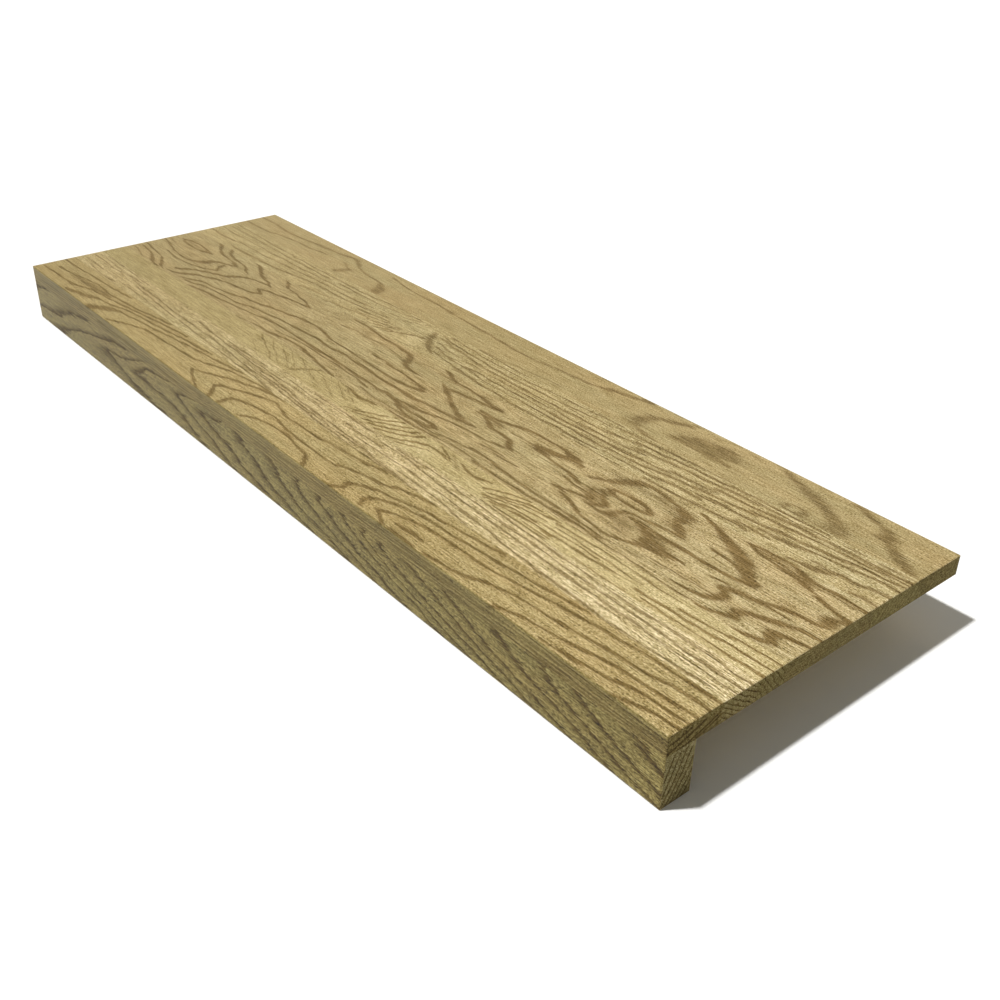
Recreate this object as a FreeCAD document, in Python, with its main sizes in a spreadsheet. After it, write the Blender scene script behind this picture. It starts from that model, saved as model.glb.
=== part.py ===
import FreeCAD, Part
import os

import Sketcher

# Retrofit stair tread in oak: a panel edge-glued from six full-length staves, with a nosing strip
# glued under the front stave so that the tread hooks over the front of an existing step.
# Frame: +X along the tread, +Y towards the riser at the back, +Z up.
# The origin is under the middle of the tread, level with the foot of the nosing.

# Driving dimensions in millimetres
DIMENSIONS = [
    ("tread_length", 914.4, "36 in between the end cuts"),
    ("tread_depth", 292.1, "11 1/2 in from the front face to the back edge"),
    ("panel_thickness", 15.875, "5/8 in"),
    ("front_height", 57.15, "2 1/4 in from the top face to the foot of the nosing"),
    ("nosing_thickness", 25.4, "1 in front to back"),
    ("front_stave_width", 46.0, "flat sawn, carries the nosing"),
    ("stave_2_width", 31.0, "rift sawn"),
    ("stave_3_width", 26.5, "quarter sawn"),
    ("stave_4_width", 88.0, "flat sawn, the widest"),
    ("stave_5_width", 50.5, "rift sawn"),
    ("arris_radius", 0.8, "sanded edge between two visible faces"),
    ("foot_radius", 1.6, "1/16 in round on the front of the nosing's foot"),
]

# Staves from the front to the back. The back stave takes the rest of the depth.
STAVES = ["front_stave", "stave_2", "stave_3", "stave_4", "stave_5", "back_stave"]

TOLERANCE = 1e-4

# Side of the rough square that each section is drawn as before its own sizes apply
ROUGH_SIDE = 10.0


def cell(alias):
    return "Dimensions." + alias


def write_dimensions(doc):
    sheet = doc.addObject("Spreadsheet::Sheet", "Dimensions")
    for row, (alias, value, note) in enumerate(DIMENSIONS, start=1):
        sheet.set(f"A{row}", alias)
        sheet.set(f"B{row}", str(value))
        sheet.set(f"C{row}", note)
        sheet.setAlias(f"B{row}", alias)
    doc.recompute()


def add_body(doc, label, front, bottom):
    """A body whose own origin is the lower front corner of its section."""
    body = doc.addObject("PartDesign::Body", label)
    body.Label = label
    body.setExpression("Placement.Base.y", front)
    body.setExpression("Placement.Base.z", bottom)
    return body


def add_section(body, width, height):
    """The sawn section across the grain: a rectangle from the body's origin to the back and up."""
    sketch = body.newObject("Sketcher::SketchObject", body.Label + "_section")
    plane = next(o for o in body.Origin.OriginFeatures if o.Role == "YZ_Plane")
    sketch.AttachmentSupport = [(plane, "")]
    sketch.MapMode = "FlatFace"

    square = ((0, 0), (1, 0), (1, 1), (0, 1))
    corners = [FreeCAD.Vector(x * ROUGH_SIDE, y * ROUGH_SIDE) for x, y in square]
    bottom, back, top, front = range(4)
    start, end = 1, 2
    for i, corner in enumerate(corners):
        sketch.addGeometry(Part.LineSegment(corner, corners[(i + 1) % 4]))
    for line, following in ((bottom, back), (back, top), (top, front), (front, bottom)):
        sketch.addConstraint(Sketcher.Constraint("Coincident", line, end, following, start))
    for line in (bottom, top):
        sketch.addConstraint(Sketcher.Constraint("Horizontal", line))
    for line in (back, front):
        sketch.addConstraint(Sketcher.Constraint("Vertical", line))
    sketch_origin = -1
    sketch.addConstraint(Sketcher.Constraint("Coincident", bottom, start, sketch_origin, start))

    for name, kind, line, size in (
        ("width", "DistanceX", bottom, width),
        ("height", "DistanceY", back, height),
    ):
        index = sketch.addConstraint(Sketcher.Constraint(kind, line, start, line, end, ROUGH_SIDE))
        sketch.renameConstraint(index, name)
        sketch.setExpression("Constraints." + name, size)
    return sketch


def pad_along_grain(body, sketch):
    pad = body.newObject("PartDesign::Pad", body.Label + "_length")
    pad.Profile = sketch
    pad.SideType = "Symmetric"
    pad.setExpression("Length", cell("tread_length"))
    body.Document.recompute()
    return pad


def outer_faces(edge, box):
    """The outer faces of a board that an edge lies in, from the board's own box."""
    limits = edge.BoundBox
    planes = {
        "left": (limits.XMin, limits.XMax, box.XMin),
        "right": (limits.XMin, limits.XMax, box.XMax),
        "front": (limits.YMin, limits.YMax, box.YMin),
        "back": (limits.YMin, limits.YMax, box.YMax),
        "foot": (limits.ZMin, limits.ZMax, box.ZMin),
        "top": (limits.ZMin, limits.ZMax, box.ZMax),
    }
    return {
        face
        for face, (low, high, plane) in planes.items()
        if abs(low - plane) < TOLERANCE and abs(high - plane) < TOLERANCE
    }


def edges_where(shape, box, wanted):
    return [
        f"Edge{number}"
        for number, edge in enumerate(shape.Edges, start=1)
        if wanted(outer_faces(edge, box))
    ]


def ease(body, base, edges, radius, name):
    fillet = body.newObject("PartDesign::Fillet", body.Label + "_" + name)
    fillet.Base = (base, edges)
    fillet.setExpression("Radius", radius)
    body.Document.recompute()
    return fillet


def make_stave(doc, name, front, width):
    """One board of the panel. Its arrises are eased only where two visible faces of the tread meet."""
    bottom = cell("front_height") + " - " + cell("panel_thickness")
    body = add_body(doc, name, front, bottom)
    pad = pad_along_grain(body, add_section(body, width, cell("panel_thickness")))
    visible = {"top", "left", "right"}
    if name == STAVES[0]:
        visible.add("front")
    if name == STAVES[-1]:
        visible.add("back")
    arrises = edges_where(pad.Shape, pad.Shape.BoundBox, lambda faces: len(faces & visible) == 2)
    ease(body, pad, arrises, cell("arris_radius"), "arris")
    return body


def make_panel(doc):
    front_of_tread = "-" + cell("tread_depth") + " / 2"
    widths_before = []
    panel = []
    for name in STAVES:
        front = " + ".join([front_of_tread] + widths_before)
        if name == STAVES[-1]:
            width = " - ".join([cell("tread_depth")] + widths_before)
        else:
            width = cell(name + "_width")
        panel.append(make_stave(doc, name, front, width))
        widths_before.append(width)
    return panel


def make_nosing(doc):
    """The strip under the front stave, flush with its front edge, with a rounded foot."""
    front = "-" + cell("tread_depth") + " / 2"
    height = cell("front_height") + " - " + cell("panel_thickness")
    body = add_body(doc, "nosing_strip", front, "0")
    pad = pad_along_grain(body, add_section(body, cell("nosing_thickness"), height))
    box = pad.Shape.BoundBox
    foot = edges_where(pad.Shape, box, lambda faces: faces == {"front", "foot"})
    rounded = ease(body, pad, foot, cell("foot_radius"), "foot_round")
    ends, hidden = {"left", "right"}, {"top", "back"}
    arrises = edges_where(rounded.Shape, box, lambda faces: faces & ends and not faces & hidden)
    ease(body, rounded, arrises, cell("arris_radius"), "arris")
    return body


def check(doc, bodies):
    for item in doc.Objects:
        faults = {"Invalid", "Error"} & set(item.State)
        if faults:
            raise RuntimeError(f"{item.Label} is {faults}")
    for body in bodies:
        if body.Shape.isNull() or not body.Shape.isValid() or len(body.Shape.Solids) != 1:
            raise RuntimeError(f"{body.Label} is not one valid solid")


def main():
    doc = FreeCAD.newDocument("StairTread")
    write_dimensions(doc)
    bodies = make_panel(doc) + [make_nosing(doc)]
    doc.recompute()
    check(doc, bodies)
    os.makedirs("parts", exist_ok=True)
    for body in bodies:
        box = body.Shape.optimalBoundingBox(False)
        print(
            f"{body.Label}: {body.Shape.Volume / 1000:.1f} cm3, "
            f"y {box.YMin:.2f} to {box.YMax:.2f}, z {box.ZMin:.2f} to {box.ZMax:.2f}"
        )
        body.Shape.exportStep(f"parts/{body.Label}.step")


main()
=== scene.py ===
import math
from functools import partial

import bpy
import numpy as np
from mathutils import Matrix, Vector


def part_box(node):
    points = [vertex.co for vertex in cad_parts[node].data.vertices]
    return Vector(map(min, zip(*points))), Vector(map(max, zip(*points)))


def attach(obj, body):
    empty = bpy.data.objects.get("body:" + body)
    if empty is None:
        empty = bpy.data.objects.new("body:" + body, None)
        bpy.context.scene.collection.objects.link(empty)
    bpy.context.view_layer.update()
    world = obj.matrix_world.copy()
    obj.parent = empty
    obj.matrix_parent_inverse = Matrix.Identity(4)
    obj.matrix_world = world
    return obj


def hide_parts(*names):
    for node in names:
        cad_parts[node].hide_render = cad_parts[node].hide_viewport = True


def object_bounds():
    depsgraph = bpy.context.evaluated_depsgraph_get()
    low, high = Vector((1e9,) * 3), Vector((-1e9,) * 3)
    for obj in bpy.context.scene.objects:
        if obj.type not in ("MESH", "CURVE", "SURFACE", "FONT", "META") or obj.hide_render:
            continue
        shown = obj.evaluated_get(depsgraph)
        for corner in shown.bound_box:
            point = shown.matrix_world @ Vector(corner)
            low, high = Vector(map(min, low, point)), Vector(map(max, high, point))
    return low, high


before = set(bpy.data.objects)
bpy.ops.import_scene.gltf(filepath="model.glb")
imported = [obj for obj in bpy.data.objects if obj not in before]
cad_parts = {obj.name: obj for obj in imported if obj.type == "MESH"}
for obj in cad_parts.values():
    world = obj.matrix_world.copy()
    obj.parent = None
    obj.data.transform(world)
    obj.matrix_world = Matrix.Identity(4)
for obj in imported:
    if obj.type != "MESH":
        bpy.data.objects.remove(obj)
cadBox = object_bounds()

# Oak stair tread: seven glued boards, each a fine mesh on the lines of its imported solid.
# The figure of the top is drawn line by line. Growth rings that run right through the wood give the
# front edge, the nosing, the ends and the undersides.

mm = 0.001
tread = {side: (b - a) / mm for side, a, b in zip(("length", "depth", "height"), *cadBox)}      # mm
tiny = 1e-9


def hexToLinear(code):
    parts = [int(code[i:i + 2], 16) / 255 for i in (1, 3, 5)]
    return tuple(c / 12.92 if c <= 0.04045 else ((c + 0.055) / 1.055) ** 2.4 for c in parts) + (1.0,)


# one shader node with its settings and links: a node links by its first output, a socket as it is,
# anything else is a value, and stops are a ramp's (place, grey) pairs
def addNode(tree, kind, links=None, stops=(), **settings):
    node = tree.nodes.new("ShaderNode" + kind)
    for name, value in settings.items():
        setattr(node, name, value)
    for name, value in (links or {}).items():
        if isinstance(value, bpy.types.Node):
            value = value.outputs[0]
        if isinstance(value, bpy.types.NodeSocket):
            tree.links.new(value, node.inputs[name])
        else:
            node.inputs[name].default_value = value
    if stops:
        bar = node.color_ramp.elements
        for _ in stops[2:]:
            bar.new(0.5)
        for element, (place, grey) in zip(bar, stops):
            element.position = place
            element.color = (grey, grey, grey, 1)
    return node


# growth rings
# A ring line is (ring number, [(mm along the board, mm across its figured face), ...]).
# The smoothest sheet through the lines gives the ring number everywhere in between.
def ringSheet(lines, stretch=4.0, slack=0.002, unit=20.0, batch=20000):
    points = np.array([(x / stretch, b) for n, line in lines for x, b in line], float) / unit
    values = np.array([n for n, line in lines for _ in line], float)

    def bend(d2):
        return 0.5 * d2 * np.log(d2 + tiny)

    count = len(points)
    system = np.zeros((count + 3, count + 3))
    system[:count, :count] = bend(((points[:, None] - points[None]) ** 2).sum(-1)) + slack * np.eye(count)
    system[:count, count] = 1
    system[:count, count + 1:] = points
    system[count:, :count] = system[:count, count:].T
    weights = np.linalg.solve(system, np.concatenate([values, np.zeros(3)]))

    def sheet(along, across):
        asked = np.stack([along / stretch, across], 1) / unit
        found = np.empty(len(asked))
        for start in range(0, len(asked), batch):
            part = asked[start:start + batch]
            bent = bend(((part[:, None] - points[None]) ** 2).sum(-1)) @ weights[:count]
            found[start:start + batch] = bent + weights[count] + part @ weights[count + 1:]
        return found

    return sheet


# smooth seeded noise on a plane, 0 to 1, for uneven lines and for the relief of the meshes
def planeNoise(along, across, sizeAlong, sizeAcross, seed):
    size = 256
    table = np.random.default_rng(seed).random((size, size))
    u, v = along / sizeAlong, across / sizeAcross
    ui, vi = np.floor(u).astype(int), np.floor(v).astype(int)
    fu, fv = u - ui, v - vi
    fu, fv = fu * fu * (3 - 2 * fu), fv * fv * (3 - 2 * fv)
    u0, u1, v0, v1 = (stop % size for stop in (ui, ui + 1, vi, vi + 1))
    low = table[u0, v0] * (1 - fu) + table[u1, v0] * fu
    high = table[u0, v1] * (1 - fu) + table[u1, v1] * fu
    return low * (1 - fv) + high * fv


# how open and dark the wood is across one ring: a sharp start, then a fade into dense latewood
earlyStops = [(0.0, 0.0), (0.05, 1.0), (0.13, 0.8), (0.28, 0.28), (0.46, 0.06), (1.0, 0.0)]


def earlywood(ring):
    part = np.ceil(ring) - ring
    return np.interp(part, [p for p, _ in earlyStops], [v for _, v in earlyStops])


# a hill of height 1 round a place on the figured face, for local tone and painted sheen
def patch(along, across, x, b, rx, rb):
    return np.exp(-((along - x) / rx) ** 2 - ((across - b) / rb) ** 2)


# drawn lines of the figure: a vein is (strength, half width in mm, [(mm along, mm across), ...]),
# and a point may have its own half width
# Spread is how much wider the lines are at the left end and at the right end of the tread, and shade is
# the share there of a soft shade round the dark core, which is wide times as broad.
def veinField(along, across, veins, stretch=2.5, spread=(0.85, 1.25), shade=(0.2, 0.04), wide=3):
    fromEnd = (0, tread["length"])
    shades = np.interp(along, fromEnd, shade)
    found = np.zeros(len(along))
    for strength, width, line in veins:
        sized = []
        for x, b, *own in line:
            sized.append((x, b, (own[0] if own else width) * np.interp(x, fromEnd, spread)))
        for (x0, b0, w0), (x1, b1, w1) in zip(sized, sized[1:]):
            reach = 2 * wide * max(w0, w1)
            near = np.nonzero(
                (along > min(x0, x1) - reach * stretch) & (along < max(x0, x1) + reach * stretch)
                & (across > min(b0, b1) - reach) & (across < max(b0, b1) + reach))[0]
            px, pb = (along[near] - x0) / stretch, across[near] - b0
            dx, db = (x1 - x0) / stretch, b1 - b0
            part = np.clip((px * dx + pb * db) / (dx * dx + db * db), 0, 1)
            away = np.hypot(px - part * dx, pb - part * db) / (w0 + (w1 - w0) * part)
            soft = shades[near]
            shape = (1 - soft) * np.exp(-away ** 2) + soft * np.exp(-(away / wide) ** 2)
            found[near] = np.maximum(found[near], strength * shape)
    return found


# boards
cut = {                         # mm, where nothing else is said
    "arris": 0.8,               # eased edge, as in the solids
    "sharp": 40,                # degrees, edges turned further than this stay crisp
    "relief": 0.07,             # depth of the open grain
    "shallow": 0.4,             # least share of that depth
    "fade": 1.5,                # the relief dies away over this stretch before the ends
    "ragged": 0.25,             # part of a ring by which its edge strays
    "wobble": 1.8,              # no drawn line is quite smooth
    "figureDepth": 5.0,         # the drawn figure fades out below the top
    "endFigure": 0.3,           # share of it that is left on the ends
    "side": 0.02,               # a point this close to a side belongs to it
}
# unevenness of the grain: mm along, mm across, seed
uneven = {"wobble": (11, 2.2, 8), "fringe": (45, 1.3, 9), "ragged": (15, 0.9, 5), "depth": (9, 1.4, 6)}


# The section of a board: points round it with their normals, and the way each steps in at an eased end.
def boardSection(low, high, rounds, shown, steps):
    y0, z0, y1, z1 = low[1], low[2], high[1], high[2]
    bends = [1 - math.cos(math.radians(angle)) for angle in (60, 75)]
    corners = {"topFront": (y0, z1, 1, -1), "topBack": (y1, z1, -1, -1), "footFront": (y0, z0, 1, 1)}
    topFront, topBack, footFront = (rounds.get(corner, 0) for corner in corners)

    # stops from one side to the other, with a rounded corner's own stops at its end
    def stops(start, end, roundStart, roundEnd, count):
        first, last = start + roundStart, end - roundEnd
        made = [start] + [start + roundStart * bend for bend in bends] if roundStart else []
        made += [first + (last - first) * i / count for i in range(count + 1)]
        made += [end - roundEnd * bend for bend in reversed(bends)] + [end] if roundEnd else []
        return made

    ys = stops(y0, y1, max(topFront, footFront), topBack, steps[0])
    zs = stops(z0, z1, footFront, max(topFront, topBack), steps[1])

    # a point of the square section, moved onto the round where its corner has one
    def rounded(y, z, ny, nz):
        for corner, r in rounds.items():
            cy, cz, sy, sz = corners[corner]
            if (y - cy) * sy < r - tiny and (z - cz) * sz < r - tiny:
                my, mz = cy + sy * r, cz + sz * r
                dy, dz = y - my, z - mz
                if abs(y - cy) < tiny and abs(z - cz) < tiny:
                    dy, dz = -sy, -sz
                elif abs(z - cz) < tiny:
                    dz = -sz * math.sqrt(max(r * r - dy * dy, 0))
                else:
                    dy = -sy * math.sqrt(max(r * r - dz * dz, 0))
                size = math.hypot(dy, dz)
                return my + dy / size * r, mz + dz / size * r, dy / size, dz / size
        return y, z, ny, nz

    foot = [rounded(y, z0, 0, -1) for y in ys]
    back = [rounded(y1, z, 1, 0) for z in zs]
    top = [rounded(y, z1, 0, 1) for y in reversed(ys)]
    front = [rounded(y0, z, -1, 0) for z in reversed(zs)]
    loop = foot[:-1] + back[:-1] + top[:-1] + front[:-1]
    inset = []
    for y, z, ny, nz in loop:
        dy = dz = 0.0
        if "top" in shown and (nz > tiny or abs(z - z1) < tiny):
            dz = -1.0 if abs(z - z1) < tiny else -nz
        if "foot" in shown and (nz < -tiny or abs(z - z0) < tiny):
            dz = 1.0 if abs(z - z0) < tiny else -nz
        if "front" in shown and (ny < -tiny or abs(y - y0) < tiny):
            dy = 1.0 if abs(y - y0) < tiny else -ny
        if "back" in shown and (ny > tiny or abs(y - y1) < tiny):
            dy = -1.0 if abs(y - y1) < tiny else -ny
        inset.append((dy, dz))
    return np.array(loop), np.array(inset), len(ys) - 1, len(zs) - 1


# the section run along the board, with eased ends: points, normals, quads and which points are end grain
def boardLattice(low, high, rounds, shown, steps, arris):
    section, inset, ny, nz = boardSection(low, high, rounds, shown, steps)
    around = len(section)
    x0, x1 = low[0], high[0]
    turn = [math.radians(angle) for angle in (90, 60, 30)]
    stops = [(x0 + arris * (1 - math.sin(a)), arris * (1 - math.cos(a))) for a in turn]
    stops += [(x, 0.0) for x in np.linspace(x0 + arris, x1 - arris, steps[2] + 1)]
    stops += [(x1 - arris * (1 - math.sin(a)), arris * (1 - math.cos(a))) for a in reversed(turn)]
    count = len(stops)
    xs, ins = np.array(stops).T
    wall = np.empty((count, around, 3))
    wall[:, :, 0] = xs[:, None]
    wall[:, :, 1:] = section[None, :, :2] + inset[None] * ins[:, None, None]
    normal = np.zeros_like(wall)
    normal[:, :, 1:] = section[None, :, 2:]

    number = np.arange(count * around).reshape(count, around)
    i, j = np.meshgrid(np.arange(count - 1), np.arange(around), indexing="ij")
    k = (j + 1) % around
    sides = [number[i, j], number[i, k], number[i + 1, k], number[i + 1, j]]
    points, normals = [wall.reshape(-1, 3)], [normal.reshape(-1, 3)]
    quads = [np.stack(sides, -1).reshape(-1, 4)]

    # each end cut is a grid stretched between the four sides of the section
    foot = np.arange(0, ny + 1)
    back = np.arange(ny, ny + nz + 1)
    top = np.arange(ny + nz, 2 * ny + nz + 1)[::-1]
    front = np.append(np.arange(2 * ny + nz, around), 0)[::-1]
    u = np.linspace(0, 1, ny + 1)[:, None, None]
    v = np.linspace(0, 1, nz + 1)[None, :, None]
    inner = (ny - 1) * (nz - 1)
    used = count * around
    ends = np.zeros(used)
    for row, way in ((0, -1), (count - 1, 1)):
        ring = wall[row]
        grid = (
            (1 - v) * ring[foot][:, None] + v * ring[top][:, None]
            + (1 - u) * ring[front][None] + u * ring[back][None]
            - (1 - u) * (1 - v) * ring[foot[0]] - u * (1 - v) * ring[foot[-1]]
            - (1 - u) * v * ring[top[0]] - u * v * ring[top[-1]]
        )
        index = np.empty((ny + 1, nz + 1), int)
        index[:, 0], index[:, -1] = number[row, foot], number[row, top]
        index[0, :], index[-1, :] = number[row, front], number[row, back]
        index[1:-1, 1:-1] = used + np.arange(inner).reshape(ny - 1, nz - 1)
        used += inner
        points.append(grid[1:-1, 1:-1].reshape(-1, 3))
        normals.append(np.tile((way, 0.0, 0.0), (inner, 1)))
        ends = np.append(ends, np.ones(inner))
        ends[number[row]] = 1
        cells = np.stack([index[:-1, :-1], index[1:, :-1], index[1:, 1:], index[:-1, 1:]], -1).reshape(-1, 4)
        quads.append(cells if way > 0 else cells[:, ::-1])
    return np.concatenate(points), np.concatenate(normals), np.concatenate(quads), ends


def fillMesh(name, points, quads, layers):
    mesh = bpy.data.meshes.new(name)
    mesh.vertices.add(len(points))
    mesh.vertices.foreach_set("co", points.astype(np.float32).ravel())
    mesh.loops.add(quads.size)
    mesh.loops.foreach_set("vertex_index", quads.astype(np.int32).ravel())
    mesh.polygons.add(len(quads))
    mesh.polygons.foreach_set("loop_start", np.arange(0, quads.size, 4, dtype=np.int32))
    mesh.polygons.foreach_set("use_smooth", np.ones(len(quads), bool))
    mesh.update(calc_edges=True)
    mesh.validate()
    mesh.set_sharp_from_angle(angle=math.radians(cut["sharp"]))
    for layer, values in layers.items():
        mesh.attributes.new(layer, "FLOAT", "POINT").data.foreach_set("value", values.astype(np.float32))
    return mesh


# place of a point of the wood as its figured face sees it: mm along, mm across and mm below that face
def woodPlace(points, face):
    x, y, z = points.T / mm
    along, fromFront, fromTop = x + tread["length"] / 2, y + tread["depth"] / 2, tread["height"] - z
    if face == "front":
        return along, fromTop, fromFront
    return along, tread["depth"] - fromFront, fromTop


# oiled oak
# Planed and sanded oak under a clear satin oil: warm tan latewood, brown lines of open earlywood
# pores, fine fibres, and a soft broad highlight. The end grain drinks oil and goes dark. The faces towards
# the front and back are darkened by a painted shade.
oak = {
    "seed": 0.0, "late": "#ab9260", "lateGreen": "#a29364", "early": "#634812", "pore": "#432f0c",
    # end grain is darker; the second tint is a painted shade on the faces towards the front and back
    "endTint": "#aeae96", "paintedSideShade": "#bdbd90",
    "bands": 0.77, "endBands": 0.0, "pores": 0.45,      # how far earlywood and pores darken the wood
    "dash": 0.6, "wave": 0.45, "thread": 1.6,           # how far each mark of the grain swings
    "fibre": 0.62, "mottle": 2.4, "streak": 0.2, "tone": 0.2, "endBlotch": 1.6,
    "crisp": (0.8, 1.05), "dark": (0.3, 0.87),          # change per metre to the right, value in the middle
    "inEarly": (0.85, 0.15),                            # share of pores in earlywood, and anywhere
    "rich": (1.0, 1.12, 1.6), "darkest": 0.1,           # powers of red, green and blue: dark wood is richer
    "rough": 0.42, "earlyRough": 0.14, "endRough": 0.5,
    "relief": 0.05,                                     # mm
}
# marks of the grain: mm along it, mm across it, detail, seed
# Pores are 0.3 mm wide and fibres finer still: both are drawn at about 0.6 mm so that they show.
grain = {
    "dash": (16, 0.9, 2, 0),            # vessels are cut into dashes, so a ring's edge is ragged
    "wave": (75, 8, 1, 3),
    "thread": (18, 0.55, 2, 31),        # a drawn line breaks up into straight threads of vessels
    "pore": (16, 0.6, 1, 7),
    "fibre": (22, 0.55, 1, 17),
    "mottle": (1.8, 0.6, 1, 29),
    "endBlotch": (4, 2.4, 2, 51),
    "streak": (60, 1.6, 2, 37),
    "tone": (150, 34, 2, 23),           # the slow change of shade along a board
    "latewood": (120, 20, 1, 43),       # and of its colour
}
ramps = {
    "early": earlyStops,
    "vein": [(0.0, 0), (0.07, 0), (0.22, 0.14), (0.52, 0.92), (1.0, 1)],
    "pore": [(0.0, 0), (0.44, 0), (0.56, 1), (1.0, 1)],
    "fibre": [(0.0, 0), (0.4, 0), (0.6, 1), (1.0, 1)],
}


def oiledOak(name, look):
    material = bpy.data.materials.new(name)
    material.use_nodes = True
    tree = material.node_tree
    tree.nodes.clear()
    add = partial(addNode, tree)
    colour = {key: hexToLinear(code) for key, code in look.items() if isinstance(code, str)}
    layer = {}
    for stored in ("ring", "plain", "vein", "tone", "endGrain", "edge"):
        layer[stored] = add("Attribute", attribute_name=stored).outputs["Fac"]
    place = add("TexCoord").outputs["Object"]
    right = add("SeparateXYZ", {0: place})      # metres from the middle, towards the right end
    seedWay = (1.0, 0.7, 1.3)                   # a seed moves the noise along this line

    # noise drawn out along the grain, 0 to 1
    def speckle(mark):
        along, across, detail, seed = grain[mark]
        scale = (1 / (along * mm), 1 / (across * mm), 1 / (across * mm))
        shift = [(look["seed"] + seed) * way for way in seedWay]
        moved = add("VectorMath", {0: place, 1: scale, 2: shift}, operation="MULTIPLY_ADD")
        return add("TexNoise", {"Vector": moved, "Scale": 1.0, "Detail": detail})

    # a speckle that swings either side of nought
    def swing(mark):
        return add("Math", {0: speckle(mark), 1: look[mark], 2: -look[mark] / 2}, operation="MULTIPLY_ADD")

    # the dark start of each ring, where the face isn't plain
    ring = add("Math", {0: layer["ring"], 1: swing("dash")}, operation="ADD")
    ring = add("Math", {0: ring, 1: swing("wave")}, operation="ADD")
    part = add("Math", {0: add("Math", {0: ring, 1: -1.0}, operation="MULTIPLY")}, operation="FRACT")
    early = add("ValToRGB", {0: part}, ramps["early"])
    ringed = add("Math", {0: 1.0, 1: layer["plain"]}, operation="SUBTRACT")
    early = add("Math", {0: early, 1: ringed}, operation="MULTIPLY")
    # drawn lines: these and the fibres stand out more towards the right end
    crisp, dark = (
        add("Math", {0: right, 1: look[way][0], 2: look[way][1]}, operation="MULTIPLY_ADD")
        for way in ("crisp", "dark"))
    threads = add("Math", {0: swing("thread"), 1: crisp}, operation="MULTIPLY")
    vein = add("Math", {0: layer["vein"], 1: threads, 2: layer["vein"]}, operation="MULTIPLY_ADD")
    vein = add("ValToRGB", {0: vein}, ramps["vein"])
    vein = add("Math", {0: vein, 1: dark}, operation="MULTIPLY")
    early = add("Math", {0: early, 1: vein}, operation="MAXIMUM")
    # pores and fibres
    pore = add("ValToRGB", {0: speckle("pore")}, ramps["pore"])
    share = add("Math", {0: early, 1: look["inEarly"][0], 2: look["inEarly"][1]}, operation="MULTIPLY_ADD")
    pore = add("Math", {0: pore, 1: share}, operation="MULTIPLY")
    fibre = add("ValToRGB", {0: speckle("fibre")}, ramps["fibre"])
    fibre = add("Math", {0: fibre, 1: look["fibre"], 2: -look["fibre"] / 2}, operation="MULTIPLY_ADD")
    # light and dark of the wood, with the painted sheen carried by the stored tone
    shade = add("Math", {0: fibre, 1: swing("mottle")}, operation="ADD")
    shade = add("Math", {0: shade, 1: crisp}, operation="MULTIPLY")
    shade = add("Math", {0: swing("endBlotch"), 1: layer["endGrain"], 2: shade}, operation="MULTIPLY_ADD")
    for more in (swing("streak"), swing("tone"), layer["tone"], 1.0):
        shade = add("Math", {0: shade, 1: more}, operation="ADD")
    shade = add("Math", {0: shade, 1: look["darkest"]}, operation="MAXIMUM")
    rich = add("CombineColor", {
        channel: add("Math", {0: shade, 1: power}, operation="POWER")
        for channel, power in enumerate(look["rich"])})

    # colours over one another, each with its amount; the last is a painted shade on the faces towards the
    # front and back
    bands = add("Math", {
        0: layer["endGrain"], 1: look["endBands"], 2: look["bands"]}, operation="MULTIPLY_ADD")
    bands = add("Math", {0: early, 1: bands}, operation="MULTIPLY")
    holes = add("Math", {0: pore, 1: look["pores"]}, operation="MULTIPLY")
    wood = colour["late"]
    for amount, over, blend in (
        (speckle("latewood"), colour["lateGreen"], "MIX"), (bands, colour["early"], "MIX"),
        (holes, colour["pore"], "MIX"), (1.0, rich, "MULTIPLY"),
        (layer["endGrain"], colour["endTint"], "MULTIPLY"), (layer["edge"], colour["paintedSideShade"], "MULTIPLY"),
    ):
        wood = add("Mix", {0: amount, 6: wood, 7: over}, data_type="RGBA", blend_type=blend).outputs[2]

    rough = add("Math", {0: early, 1: look["earlyRough"], 2: look["rough"]}, operation="MULTIPLY_ADD")
    rough = add("Math", {
        0: layer["endGrain"], 1: look["endRough"], 2: rough}, operation="MULTIPLY_ADD", use_clamp=True)
    height = add("Math", {0: fibre, 1: pore}, operation="SUBTRACT")
    bump = add("Bump", {"Height": height, "Strength": 1.0, "Distance": look["relief"] * mm})
    surface = add("BsdfPrincipled", {
        "Base Color": wood, "Roughness": rough, "Normal": bump, "IOR": 1.5,
        "Specular IOR Level": 0.2})        # open grain, only part of it is filled with oil
    add("OutputMaterial", {"Surface": surface})
    return material


# what a board has where it says nothing else
# Each board adds steps, the parts of its mesh across, down and along, and patches of tone and painted sheen:
# mm along, mm across, the patch's reach both ways in mm, and how much lighter it is. The broad lighter
# patches at the right end of a board are painted sheen, and the broad darker ones at the left end darken it
# there.
anyBoard = {
    "face": "top", "rounds": {}, "shown": ("top",),
    "taper": 0.0, "slant": 0.0, "deep": 0.0,        # mm along, mm across and rings for each mm of depth
    "lead": 0.0,                                    # part of a ring by which all rings are shifted
    "plainTop": 1.0, "plainEnd": 0.45,              # how far the rings are switched off there
    # edge is the share of painted shade on the faces towards the front and back
    "edge": 0.0, "fringe": 3.5, "ringVeins": None, "veins": [], "frontVeins": [], "endVeins": [],
}


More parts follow.
